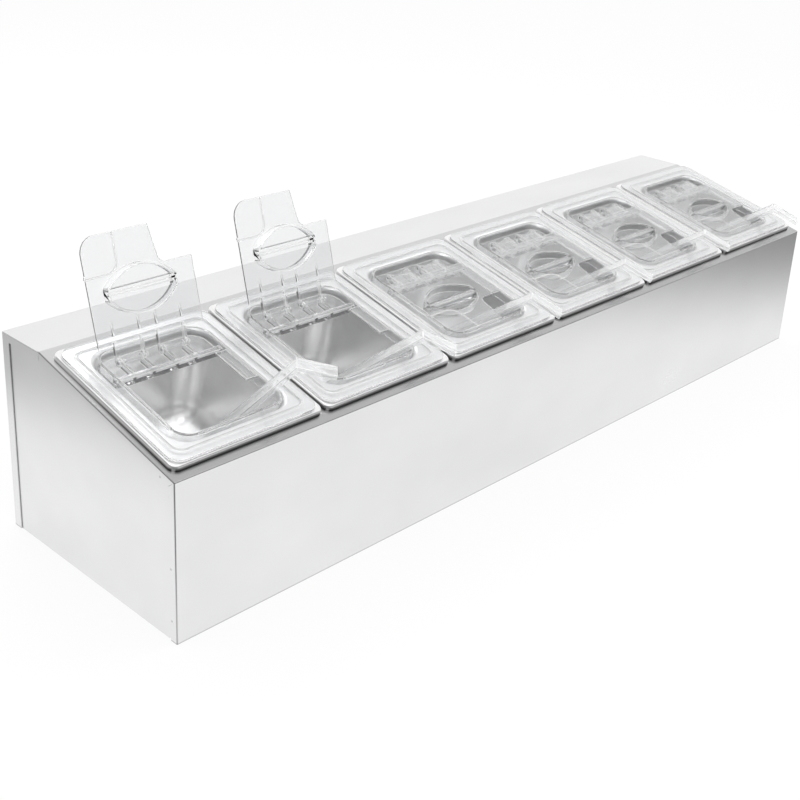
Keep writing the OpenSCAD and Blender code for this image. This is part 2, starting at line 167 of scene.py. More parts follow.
class FlapSettings(bpy.types.PropertyGroup):
    """Sizes of a hinged flap"""

    axis: length("Axis", "Hinge axis, from the pan's front edge", 136.5)
    axis_height: length("Axis height", "Hinge axis over the deck", 5.1)
    open_angle: angle("Open angle", "Angle to which a flap opens", 119)
    wall: length("Wall", "Thickness of the flap", 2.2)
    gap: length("Gap", "Gap round the flap in its opening", 0.5)
    lap: length("Lap", "How far the flap passes the bar", 2)
    notch_width: length("Notch width", "Width of the ladle notch at the front", 40.5)
    notch_depth: length("Notch depth", "Depth of the ladle notch", 36.5)
    notch_lean: angle("Notch lean", "Lean of the notch's long edge", 9)
    notch_radius: length("Notch corner", "Corner radius of the notch", 8)
    stop: length("Stop", "Width of the small stop on the flap's left edge", 4)
    stop_out: length("Stop reach", "How far the stop stands out", 1)
    grip_length: length("Grip length", "Length of the grip", 71)
    grip_width: length("Grip width", "Width of the grip", 44)
    grip_middle: length("Grip middle", "Middle of the grip, from the pan's front", 77)
    grip_in: length("Grip inset", "Grip's left end, from the flap's left edge", 14.5)
    grip_depth: length("Grip depth", "Depth of the finger pockets", 9)
    grip_bar: length("Grip bar", "Width of the cross bar", 6)
    ridge_width: length("Ridge width", "Width of the raised outline", 1.2)
    ridge_height: length("Ridge height", "Height of the raised outline", 0.5)
    ridge_radius: length("Ridge corner", "Corner radius of the raised outline", 12)
    knuckle_in: length("Knuckle inset", "First knuckle, from the flap's left edge", 14.5)
    knuckle_pitch: length("Knuckle pitch", "Distance between the knuckles", 45)
    knuckle: length("Knuckle", "Width of a knuckle over its arms", 30)
    arm: length("Arm", "Thickness of an arm or a lug", 3)
    arm_gap: length("Arm gap", "Side gap between an arm and its lug", 0.4)
    pin: length("Pin radius", "Radius of a hinge pin", 1.5)
    rib: length("Rib", "Length of the ribs before the arms", 14)
    rib_height: length("Rib height", "Height of a rib at its back end", 2.5)
    rib_width: length("Rib width", "Thickness of a rib", 2)
    soft: length("Soft edge", "Radius of the moulded edges", 0.4)


class LadleSettings(bpy.types.PropertyGroup):
    """Sizes of a ladle"""

    stem: length("Stem", "Length from the bowl to the bend", 153)
    tip: length("Tip", "Length past the bend", 36)
    tip_turn: angle("Tip turn", "Angle by which the tip turns down", 60.6)
    width: length("Width", "Width of the handle", 15)
    depth: length("Depth", "Depth of the handle's channel", 5)
    wall: length("Wall", "Thickness of the plastic", 1.8)
    bowl: length("Bowl", "Outer radius of the bowl", 16)
    bowl_turn: angle("Bowl turn", "Turn of the bowl against the stem", 45)
    exit_side: length("Exit side", "Where the stem leaves, from the pan's right", 47)
    exit_front: length("Exit front", "Where the stem leaves, from the pan's front", 42)
    exit_height: length("Exit height", "Height over the deck of that place", 3)
    soft: length("Soft edge", "Radius of the moulded edges", 0.45)


class FinishSettings(bpy.types.PropertyGroup):
    """Colours and finish of steel and plastic"""

    housing: colour("Housing", "Steel of the housing", (0.825, 0.825, 0.83))
    pans: colour("Pans", "Steel of the pans", (0.95, 0.95, 0.95))
    plastic: colour("Plastic", "Tint of the clear plastic", (0.92, 0.925, 0.93))
    housing_roughness: share("Housing roughness", "How matt the housing is", 0.26)
    pan_roughness: share("Pan roughness", "How matt the pans are", 0.3)
    plastic_roughness: share("Plastic roughness", "How matt the plastic is", 0.03)
    lid_haze: share("Lid haze", "How milky the lid frames are", 0.05)
    flap_haze: share("Flap haze", "How milky the flaps are", 0.05)
    ladle_haze: share("Ladle haze", "How milky the ladles are", 0.2)
    # the rounded edges' whiter, milky plastic is a painted highlight, in place of the light that clear edges
    # catch
    edges: colour("Edges", "Tint of the plastic's rounded edges", (0.97, 0.97, 0.97))
    edge_roughness: share("Edge roughness", "How matt the plastic's edges are", 0.15)
    edge_painted_highlight: share("Edge haze", "How milky the plastic's edges are", 0.6)


class StageSettings(bpy.types.PropertyGroup):
    """The camera, the lamps and the floor"""

    camera_place: bpy.props.FloatVectorProperty(
        name="Camera", description="Where the camera stands", default=(-1.02677, -0.72522, 0.66101),
        size=3, subtype="TRANSLATION", unit="LENGTH",
    )
    heading: angle("Heading", "Turn of the view from the back towards the right", 47.10)
    tilt: angle("Tilt", "How far the view looks down", 22.09)
    roll: angle("Roll", "Turn of the picture about the view's line", 3.06)
    focus: pixels("Focal length", "Focal length in pixels of the picture", 1289.69)
    rise: pixels("Rise", "How far the lens's middle lies above the picture's, in pixels", 88.1)
    floor: length("Floor", "Side of the floor", 12000)


# ---- modelling helpers ----


def deselect():
    """Leaves nothing selected, so that the next operator touches only its own piece."""
    bpy.ops.object.select_all(action="DESELECT")


def activate(piece):
    """Selects one piece alone."""
    deselect()
    piece.select_set(True)
    bpy.context.view_layer.objects.active = piece


@contextmanager
def editing(piece):
    """Edit mode on one piece."""
    activate(piece)
    bpy.ops.object.mode_set(mode="EDIT")
    yield
    bpy.ops.object.mode_set(mode="OBJECT")


def pick(kind, test):
    """Selects the vertices, edges or faces whose every point passes the test."""
    bpy.ops.mesh.select_mode(type=kind)
    bpy.ops.mesh.select_all(action="DESELECT")
    mesh = bmesh.from_edit_mesh(bpy.context.object.data)
    parts = {"VERT": mesh.verts, "EDGE": mesh.edges, "FACE": mesh.faces}[kind]
    found = False
    for part in parts:
        points = [part.co] if kind == "VERT" else [corner.co for corner in part.verts]
        if all(test(point) for point in points):
            part.select_set(True)
            found = True
    mesh.select_flush_mode()
    bmesh.update_edit_mesh(bpy.context.object.data)
    if not found:
        raise ValueError(f"nothing to select on {bpy.context.object.name}")


def near(place):
    """A test for points at a place, whose missing coordinates are None."""
    return lambda point: all(b is None or abs(a - b) < CLOSE for a, b in zip(point, place))


def extrude(move):
    """Extrudes what is selected by a vector."""
    bpy.ops.mesh.extrude_region_move(TRANSFORM_OT_translate={"value": tuple(move)})


def recalculate():
    """Turns all faces of the edited piece outwards."""
    bpy.ops.mesh.select_all(action="SELECT")
    bpy.ops.mesh.normals_make_consistent(inside=False)


def settle(piece, matrix=None):
    """Moves a piece by a matrix and keeps its place in its mesh."""
    activate(piece)
    if matrix is not None:
        piece.matrix_world = matrix @ piece.matrix_world
    bpy.ops.object.transform_apply(location=True, rotation=True, scale=True)
    return piece


def finish_modifier(piece, kind, **values):
    """Adds a modifier with its values and applies it."""
    activate(piece)
    modifier = piece.modifiers.new(kind.title(), kind)
    for name, value in values.items():
        setattr(modifier, name, value)
    bpy.ops.object.modifier_apply(modifier=modifier.name)
    return piece


def combine(body, tool, operation="UNION"):
    """Joins a closed tool to a closed body, cuts it out, or keeps what they share."""
    finish_modifier(body, "BOOLEAN", operation=operation, object=tool, solver="EXACT")
    bpy.data.objects.remove(tool)
    return body


def primitive(add, name, scale=(1, 1, 1), **values):
    """A new primitive, alone in the selection, with its place and scale kept in its mesh."""
    deselect()
    add(**values)
    piece = bpy.context.object
    piece.name = name
    piece.scale = scale
    return settle(piece)


def sheet_outline(name, low, high, level, corners):
    """A flat face from low to high, with round corners: front left, front right, back right, back left."""
    middle = ((low[0] + high[0]) / 2, (low[1] + high[1]) / 2, level)
    scale = (high[0] - low[0], high[1] - low[1], 1)
    piece = primitive(bpy.ops.mesh.primitive_plane_add, name, scale, size=1, location=middle)
    places = [low, (high[0], low[1]), high, (low[0], high[1])]
    with editing(piece):
        for place, radius in zip(places, corners):
            if radius:
                pick("VERT", near((*place, None)))
                bpy.ops.mesh.bevel(offset=radius, segments=ARC, affect="VERTICES")
    return piece


def plate(name, low, high, bottom, top, corners=(0, 0, 0, 0)):
    """A flat plate between two levels, with round corners."""
    piece = sheet_outline(name, low, high, bottom, corners)
    with editing(piece):
        bpy.ops.mesh.select_all(action="SELECT")
        extrude((0, 0, top - bottom))
        recalculate()
    return piece


def block(low, high):
    """A plain box from corner to corner."""
    return plate("block", low[:2], high[:2], low[2], high[2])


def rod(middle, radius, reach):
    """A round rod along X, from middle to middle + reach."""
    return primitive(
        bpy.ops.mesh.primitive_cylinder_add, "rod", vertices=32, radius=radius, depth=reach,
        location=(middle[0] + reach / 2, middle[1], middle[2]), rotation=(0, pi / 2, 0),
    )


def prism(name, corners, reach):
    """A prism: an outline drawn from corner to corner, and pulled out by a vector."""
    piece = primitive(bpy.ops.mesh.primitive_plane_add, name, size=MM, location=corners[0])
    with editing(piece):
        bpy.ops.mesh.select_all(action="SELECT")
        bpy.ops.mesh.merge(type="CENTER")
        for start, end in zip(corners, corners[1:]):
            move = tuple(b - a for a, b in zip(start, end))
            bpy.ops.mesh.extrude_vertices_move(TRANSFORM_OT_translate={"value": move})
        bpy.ops.mesh.select_all(action="SELECT")
        bpy.ops.mesh.edge_face_add()
        extrude(reach)
        recalculate()
    return piece


def soften(piece, radius):
    """Rounds the sharp edges of a moulded piece, which take its second material, whose milky white is a
    painted highlight.
    """
    wear(piece, None, None)
    return finish_modifier(
        piece, "BEVEL", width=radius, segments=2, limit_method="ANGLE", angle_limit=radians(35),
        use_clamp_overlap=False, loop_slide=False, material=1,
    )


def flatten(piece):
    """Takes out the edges that lie inside flat faces."""
    with editing(piece):
        bpy.ops.mesh.select_all(action="SELECT")
        bpy.ops.mesh.dissolve_limited(angle_limit=radians(1))
    return piece


def smooth(piece):
    """Shades a piece smooth across its shallow edges, with its flat faces kept flat."""
    activate(piece)
    bpy.ops.object.shade_smooth_by_angle(angle=radians(40))
    return finish_modifier(piece, "WEIGHTED_NORMAL", keep_sharp=True, weight=100)


def copy_of(piece, name):
    """A copy with its own mesh."""
    activate(piece)
    bpy.ops.object.duplicate(linked=False)
    copy = bpy.context.object
    copy.name = name
    return copy


def deck_run(housing):
    """Depth of the sloping deck in plan."""
    return sheet_high.y - sheet_low.y - housing.shelf


def deck_slope(housing):
    """Angle at which the deck rises."""
    return atan2(sheet_high.z - housing.front_height, deck_run(housing))


def deck_matrix(housing):
    """From the deck's frame, with its origin at the front left, to the room."""
    corner = Vector((sheet_low.x, sheet_low.y, housing.front_height))
    return Matrix.Translation(corner) @ Matrix.Rotation(deck_slope(housing), 4, "X")


def station_matrix(station):
    """From a pan's own frame to the room: u to the right, v up the slope, h off the deck."""
    housing = bpy.context.scene.caddy_housing
    place = (housing.end_margin + (station - 1) * pan_pitch, housing.front_ledge, 0)
    return deck_matrix(housing) @ Matrix.Translation(place)


def wear(piece, *skins):
    """Gives a piece its material and, where it has moulded edges, the one of those."""
    while len(piece.data.materials) < len(skins):
        piece.data.materials.append(None)
    for slot, skin in enumerate(skins):
        piece.data.materials[slot] = skin


def dress(piece, skins, body, node):
    """Gives a piece its materials and its body, and lets it stand for its node."""
    wear(piece, *skins)
    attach(piece, body)
    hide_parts(node)


def set_copies(pattern, name, skins, body, node, matrix):
    """Sets a copy of a pattern at each station and takes the pattern away."""
    for station in STATIONS:
        piece = settle(copy_of(pattern, f"{name}_{station}"), matrix(station))
        dress(piece, skins, f"{body}_{station}_body", f"{node}_{station}")
    bpy.data.objects.remove(pattern)


# ---- materials ----


class Socket:
    """A value inside a material. Python's operators on it add Math or Vector Math nodes."""

    def __init__(self, shader, output):
        self.shader, self.output = shader, output

    def math(self, operation, *values):
        """One Math node, or a Vector Math node where a value is a colour or a vector."""
        wide = any(
            isinstance(v, tuple) or (isinstance(v, Socket) and v.output.type in {"VECTOR", "RGBA"})
            for v in values
        )
        kind = "ShaderNodeVectorMath" if wide else "ShaderNodeMath"
        if wide:
            values = [(v, v, v) if isinstance(v, (int, float)) else v for v in values]
        return self.shader.add(kind, {"operation": operation}, *values)

    def __add__(self, other): return self.math("ADD", self, other)
    def __radd__(self, other): return self.math("ADD", other, self)
    def __sub__(self, other): return self.math("SUBTRACT", self, other)
    def __rsub__(self, other): return self.math("SUBTRACT", other, self)
    def __mul__(self, other): return self.math("MULTIPLY", self, other)
    def __rmul__(self, other): return self.math("MULTIPLY", other, self)
    def __pow__(self, other): return self.math("POWER", self, other)
    def __rpow__(self, other): return self.math("POWER", other, self)
    def __gt__(self, other): return self.math("GREATER_THAN", self, other)
    def __lt__(self, other): return self.math("LESS_THAN", self, other)
    def __abs__(self): return self.math("ABSOLUTE", self)


class Shader:
    """A material or a world, built node by node."""

    def __init__(self, owner):
        self.owner = owner
        owner.use_nodes = True
        self.tree = owner.node_tree
        self.tree.nodes.clear()

    def add(self, kind, settings=None, *values, out=0, **named):
        """Adds a node: its settings first, then the values or links of its sockets, by order or by name."""
        node = self.tree.nodes.new(kind)
        for name, value in (settings or {}).items():
            setattr(node, name, value)
        pairs = list(enumerate(values))
        pairs += [(name.replace("_", " "), value) for name, value in named.items()]
        for key, value in pairs:
            socket = node.inputs[key]
            if isinstance(value, Socket):
                self.tree.links.new(value.output, socket)
            elif value is not None:
                socket.default_value = value
        return Socket(self, node.outputs[out]) if node.outputs else node

    def place(self):
        """The place on the piece, in metres."""
        return self.add("ShaderNodeTexCoord", out="Object")

    def parts(self, vector):
        """The three numbers of a vector."""
        first = self.add("ShaderNodeSeparateXYZ", None, vector)
        return [Socket(self, output) for output in first.output.node.outputs]

    def noise(self, place, stretch, detail):
        """Noise from 0 to 1, with its own stretch along each axis."""
        return self.add(
            "ShaderNodeTexNoise", None, Vector=place * stretch, Scale=1.0, Detail=detail, Roughness=0.55,
        )

    def steps(self, value, low, high, start=0.0, end=1.0):
        """A smooth change from start to end while a value goes from low to high."""
        return self.add(
            "ShaderNodeMapRange", {"interpolation_type": "SMOOTHSTEP"}, value, low, high, start, end
        )

    def either(self, *shares):
        """Shares from 0 to 1 laid over each other."""
        rest = 1 - shares[0]
        for share in shares[1:]:
            rest = rest * (1 - share)
        return 1 - rest

    def finish(self, surface):
        """Links the last shader to the output."""
        kind = "World" if isinstance(self.owner, bpy.types.World) else "Material"
        self.add(f"ShaderNodeOutput{kind}", None, Surface=surface)
        return self.owner


def deck_place(shader, place):
    """Where a point lies: aside of its pan's middle, up the slope from the pan's front, off the deck."""
    scene = bpy.context.scene
    turn = station_matrix(1).inverted()
    dot = {"operation": "DOT_PRODUCT"}
    side, up, off = (
        shader.add("ShaderNodeVectorMath", dot, place, tuple(row[:3]), out=1) + row[3] for row in turn[:3]
    )
    return side.math("PINGPONG", side - scene.caddy_pans.width / 2, pan_pitch / 2), up, off


def gap_shade(shader, place, depth):
    """Painted shade: how much darker the steel is painted down in the gaps round the pans, and on the bare
    deck in front of them, in place of their shade and the dark reflection of the rims.
    """
    pans = bpy.context.scene.caddy_pans
    outer, inner = 1.6 * MM, 1.2 * MM  # the shade grows between these distances inside a pan's edge
    deck, rim = 0.6 * MM, 3.4 * MM  # and fades between these heights
    sheet_under = -0.3 * MM
    at_back = 0.45  # share of the shade behind the pans
    across, up, off = deck_place(shader, place)
    beside = [
        shader.steps(distance, half - outer, half - inner)
        for distance, half in ((across, pans.width / 2), (abs(up - pans.depth / 2), pans.depth / 2))
    ]
    low = shader.steps(off, deck, rim, 1.0, 0.0) * (off > sheet_under)
    front = shader.steps(up, 0.0, pans.depth, depth, depth * at_back)
    return shader.either(*beside) * low * front


def weld_shade(shader, place):
    """Round marks of the spot welds on the flanges at both ends."""
    front = sheet_low.y + 6.4 * MM
    spots = [(front, 20 * MM), (front, 70 * MM), (front + 2 * MM, 136 * MM), (front + 12 * MM, 149.7 * MM)]
    full, none, strength = 0.5 * MM, 1.4 * MM, 0.35
    marks = []
    for y, z in spots:
        offset = (place - (0, y, z)) * (0, 1, 1)
        gap = shader.add("ShaderNodeVectorMath", {"operation": "LENGTH"}, offset, out=1)
        marks.append(shader.steps(gap, full, none, strength, 0.0))
    return sum(marks[1:], marks[0])


def fold_shade(shader, place):
    """Painted dark reflections: dark lines along the folds at both ends, and along the foot of the front,
    where these bends would mirror dark surroundings.
    """
    x, y, z = shader.parts(place)
    aside = sheet_high.x - abs(x)
    front = y - sheet_low.y
    off = deck_place(shader, place)[2]
    full, none, strength = 0.5 * MM, 1.4 * MM, 0.5
    foot_full, foot_none, foot_strength = 0.4 * MM, 1.8 * MM, 0.3
    lines = [
        shader.steps((aside * aside + away * away) ** 0.5, full, none, strength, 0.0)
        for away in (front, off)
    ]
    return shader.either(*lines, shader.steps(z, foot_full, foot_none, foot_strength, 0.0))


def seam_shade(shader, place):
    """The painted shadow line that an end panel shows along the flanges lapped over it."""
    housing = bpy.context.scene.caddy_housing
    _, y, _ = shader.parts(place)
    off = deck_place(shader, place)[2]
    lap, fade = housing.flange + 0.4 * MM, 1.2 * MM
    back_lap = lap + 2 * MM
    strength, back_strength = 0.4, 0.75
    back = shader.steps(sheet_high.y - y, back_lap, back_lap + fade, back_strength, 0.0)
    front = shader.steps(y - sheet_low.y, lap, lap + fade, strength, 0.0)
    top = shader.steps(off * -1, lap, lap + fade, strength, 0.0)
    return shader.either(back, front, top)


def steel(name, tint, roughness, grain, clouds, dark):
    """Satin stainless steel: a fine grain along the sheet, soft cloudy marks, and darker places from dark():
    painted shade and painted dark reflections, with real weld marks on the housing.
    """
    shader = Shader(bpy.data.materials.new(name))
    place = shader.place()
    streaks = shader.noise(place, grain, detail=1)
    marks = shader.noise(place, clouds, detail=4)
    # dark() paints shade: painted shade in gaps and seams, painted dark reflections along the folds, and on
    # the housing also the weld marks
    shade = dark(shader, place)
    grain_tone, cloud_tone = 0.02, 0.16  # how much they change the level
    grain_matt, cloud_matt = 0.01, 0.06  # and the roughness
    level = ((streaks - 0.5) * grain_tone + (marks - 0.5) * cloud_tone + 1.0) * (1 - shade)
    bump = shader.add("ShaderNodeBump", None, Strength=0.02, Distance=0.1 * MM, Height=shade * -4)
    surface = shader.add(
        "ShaderNodeBsdfPrincipled", None,
        Base_Color=level * tuple(tint), Metallic=1.0,
        Roughness=(marks - 0.5) * cloud_matt + (streaks - 0.5) * grain_matt + roughness,
        Normal=bump,
    )
    return shader.finish(surface)


def clear_plastic(name, tint, roughness, haze):
    """Clear moulded plastic with a little haze, which lets the lamps' light through."""
    shader = Shader(bpy.data.materials.new(name))
    clouds = shader.noise(shader.place(), (25, 25, 25), detail=3)
    glass = shader.add(
        "ShaderNodeBsdfPrincipled", None,
        Base_Color=(*tint, 1), Roughness=(clouds - 0.5) * 0.02 + roughness,
        IOR=1.49, Transmission_Weight=1 - haze,
    )
    through = shader.add("ShaderNodeBsdfTransparent", None, Color=(0.97, 0.97, 0.97, 1))
    lamp_ray = shader.add("ShaderNodeLightPath", out="Is Shadow Ray")
    return shader.finish(shader.add("ShaderNodeMixShader", None, lamp_ray, glass, through))


def plastic_skins(kind, haze):
    """The materials of a clear piece's faces and of its rounded edges, whose milkier white is a painted
    highlight on the edges.
    """
    finish = bpy.context.scene.caddy_finish
    faces = clear_plastic(f"clear_{kind}", finish.plastic, finish.plastic_roughness, haze)
    edges = clear_plastic(f"{kind}_edge", finish.edges, finish.edge_roughness, finish.edge_painted_highlight)
    return [faces, edges]


# ---- housing ----


def side_profile(housing, inset):
    """The side outline in Y and Z, from the foot of the front to the back of the shelf, taken in."""
    slope = deck_slope(housing)
    break_y = sheet_low.y + deck_run(housing)
    front = sheet_low.y + inset
    rise = housing.front_height + inset * tan(slope) - inset / cos(slope)
    top = sheet_high.z - inset
    return [
        (front, sheet_low.z), (front, rise),
        (break_y + (inset / cos(slope) - inset) / tan(slope), top), (sheet_high.y, top),
    ]


def fold_flanges(housing, x):
    """Folds a flange from each of the sheet's three side edges, with mitred slits between them."""
    outer = [Vector((x, *point)) for point in side_profile(housing, 0)]
    inner = [Vector((x, *point)) for point in side_profile(housing, housing.flange)]
    for start in range(3):
        ends = outer[start], outer[start + 1]
        along = (ends[1] - ends[0]).normalized()
        pick("EDGE", lambda point: min((point - ends[0]).length, (point - ends[1]).length) < CLOSE)
        step = Vector((0, along.z, -along.y)) * housing.flange * 2
        extrude(step)
        trims = [start > 0, start < 2]
        for k, sign in ((0, 1), (1, -1)):
            target = inner[start + k] + along * sign * trims[k] * housing.mitre / 2
            pick("VERT", near(ends[k] + step))
            bpy.ops.transform.translate(value=target - ends[k] - step)


def folded_sheet(housing):
    """The front, the deck with its cut-outs and the shelf, folded from one sheet."""
    run = deck_run(housing)
    slope_length = hypot(run, sheet_high.z - housing.front_height)
    long = sheet_high.x - sheet_low.x
    pans = bpy.context.scene.caddy_pans
    sheet = sheet_outline("front_and_deck_sheet", (0, 0), (long, slope_length), 0, (0, 0, 0, 0))
    pieces = [sheet]
    for station in STATIONS:
        left = housing.end_margin + (station - 1) * pan_pitch + housing.seat
        right = left + pans.width - 2 * housing.seat
        front = housing.front_ledge + housing.seat
        back = front + pans.depth - 2 * housing.seat
        corners = (housing.cut_radius,) * 4
        pieces.append(sheet_outline("cut", (left, front), (right, back), 0, corners))
    deselect()
    for piece in pieces:
        piece.select_set(True)
    bpy.context.view_layer.objects.active = sheet
    bpy.ops.object.join()
    with editing(sheet):
        bpy.ops.mesh.select_all(action="SELECT")
        bpy.ops.mesh.delete(type="ONLY_FACE")
        bpy.ops.mesh.select_all(action="SELECT")
        bpy.ops.mesh.fill(use_beauty=True)
    settle(sheet, deck_matrix(housing))
    front, back = sheet_low.y, sheet_low.y + run
    top, low = housing.front_height, sheet_low.z
    with editing(sheet):
        pick("EDGE", near((None, front, top)))
        extrude((0, 0, low - top))
        pick("EDGE", near((None, front, low)))
        extrude((0, housing.hem, 0))
        for x, inward in ((sheet_low.x, housing.hem), (sheet_high.x, -housing.hem)):
            pick("VERT", near((x, front + housing.hem, low)))
            bpy.ops.transform.translate(value=(inward, 0, 0))
        pick("EDGE", near((None, back, sheet_high.z)))
        extrude((0, housing.shelf, 0))
        for x in (sheet_low.x, sheet_high.x):
            fold_flanges(housing, x)
        recalculate()
        bpy.ops.mesh.select_mode(type="EDGE")
        bpy.ops.mesh.select_all(action="DESELECT")
        bpy.ops.mesh.edges_select_sharp(sharpness=radians(10))
        mesh = bmesh.from_edit_mesh(sheet.data)
        for edge in mesh.edges:
            if edge.is_boundary or max(corner.co.z for corner in edge.verts) < low + MM:
                edge.select_set(False)
        bmesh.update_edit_mesh(sheet.data)
        bpy.ops.mesh.bevel(offset=housing.bend, segments=3, affect="EDGES")
    finish_modifier(sheet, "SOLIDIFY", thickness=housing.sheet, offset=-1, use_even_offset=True)
    return smooth(sheet)


class CADDY_OT_housing(bpy.types.Operator):
    """Fold the front, deck and shelf from one sheet, and finish the panels behind it"""

    bl_idname = "caddy.housing"
    bl_label = "Housing"

    def execute(self, context):
        finish = context.scene.caddy_finish
        housing = context.scene.caddy_housing
        along_x, along_y, clouds = (8, 350, 350), (350, 8, 350), (7, 11, 11)
        # the housing steel is darkened by painted shade round the pans, painted dark reflections along the
        # folds, and the real weld marks
        sheet = steel(
            "housing_steel", finish.housing, finish.housing_roughness, along_x, clouds,
            lambda shader, place: shader.either(
                gap_shade(shader, place, 0.42), weld_shade(shader, place), fold_shade(shader, place)),
        )
        # the end panels get a painted shadow line along the flanges
        ends = steel("end_steel", finish.housing, finish.housing_roughness, along_y, clouds, seam_shade)
        dress(folded_sheet(housing), [sheet], "housing", "front_and_deck")
        for name, skin in (("back_panel", sheet), ("left_end_panel", ends), ("right_end_panel", ends)):
            wear(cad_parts[name], skin)
        return {"FINISHED"}


# ---- pans ----


def pan_pattern(pans):
    """A drawn pan in its own frame: tub, rounded mouth, flat rim and turned-down edge, in one sheet."""
    inner = [pans.wall, pans.wall, pans.width - pans.wall, pans.depth - pans.wall]
    floor = pans.rim - pans.drop + pans.sheet
    middle = (pans.width / 2, pans.depth / 2, (pans.rim + floor) / 2)
    wide, deep = inner[2] - inner[0], inner[3] - inner[1]
    tub = primitive(
        bpy.ops.mesh.primitive_cube_add, "pan", (wide, deep, pans.rim - floor), size=1, location=middle,
    )
    with editing(tub):
        pick("FACE", near((None, None, floor)))
        shrink = (1 - 2 * pans.draft / wide, 1 - 2 * pans.draft / deep, 1)
        bpy.ops.transform.resize(value=shrink, center_override=(middle[0], middle[1], floor))
        pick("FACE", near((None, None, pans.rim)))
        bpy.ops.mesh.delete(type="ONLY_FACE")
        mesh = bmesh.from_edit_mesh(tub.data)
        bpy.ops.mesh.select_mode(type="EDGE")
        bpy.ops.mesh.select_all(action="DESELECT")
        for edge in mesh.edges:
            edge.select_set(not edge.is_boundary)
        bmesh.update_edit_mesh(tub.data)
        bpy.ops.mesh.bevel(offset=pans.radius, segments=ARC, affect="EDGES")
    raised = pans.rim + pans.wall
    rim = sheet_outline("rim", (0, 0), (pans.width, pans.depth), raised, (pans.rim_radius,) * 4)
    with editing(rim):
        bpy.ops.mesh.select_all(action="SELECT")
        bpy.ops.mesh.delete(type="ONLY_FACE")
    deselect()
    rim.select_set(True)
    tub.select_set(True)
    bpy.context.view_layer.objects.active = tub
    bpy.ops.object.join()
    with editing(tub):
        pick("EDGE", lambda p: p.z > pans.rim - CLOSE)
        bpy.ops.mesh.bridge_edge_loops()
        pick("VERT", near((None, None, raised)))
        bpy.ops.transform.translate(value=(0, 0, -pans.wall))
        level = near((None, None, pans.rim))
        outside = ((0, 0), (pans.width, pans.depth), pans.rim_radius)
        pick("EDGE", lambda p: on_rounded(p, *outside))
        extrude((0, 0, pans.lift - pans.rim))
        pick("EDGE", lambda p: level(p) and on_rounded(p, *outside))
        bpy.ops.mesh.bevel(offset=pans.rim_fold, segments=4, affect="EDGES")
        pick("EDGE", lambda p: level(p) and on_rounded(p, inner[:2], inner[2:], pans.radius))
        bpy.ops.mesh.bevel(offset=pans.mouth, segments=5, affect="EDGES")
        recalculate()
    finish_modifier(tub, "SOLIDIFY", thickness=pans.sheet, offset=-1, use_even_offset=True)
    return smooth(tub)


def on_rounded(point, low, high, radius):
    """Whether a point lies on a rounded rectangle's outline, seen from above."""
    x = max(low[0] + radius - point.x, point.x - high[0] + radius, 0)
    y = max(low[1] + radius - point.y, point.y - high[1] + radius, 0)
    facet_sag = 0.6 * MM
    return abs(hypot(x, y) - radius) < facet_sag


class CADDY_OT_pans(bpy.types.Operator):
    """Draw the pan once and set a copy in each of the deck's cut-outs"""

    bl_idname = "caddy.pans"
    bl_label = "Pans"

    def execute(self, context):
        finish = context.scene.caddy_finish
        # gap_shade paints shade on the pans' turned-down rims, low over the deck
        skin = steel(
            "pan_steel", finish.pans, finish.pan_roughness, (300, 300, 12), (22, 22, 12),
            lambda shader, place: gap_shade(shader, place, 0.85),
        )
        pattern = pan_pattern(context.scene.caddy_pans)
        set_copies(pattern, "drawn_pan", [skin], "pan", "pan", station_matrix)
        return {"FINISHED"}


# ---- lid frames ----


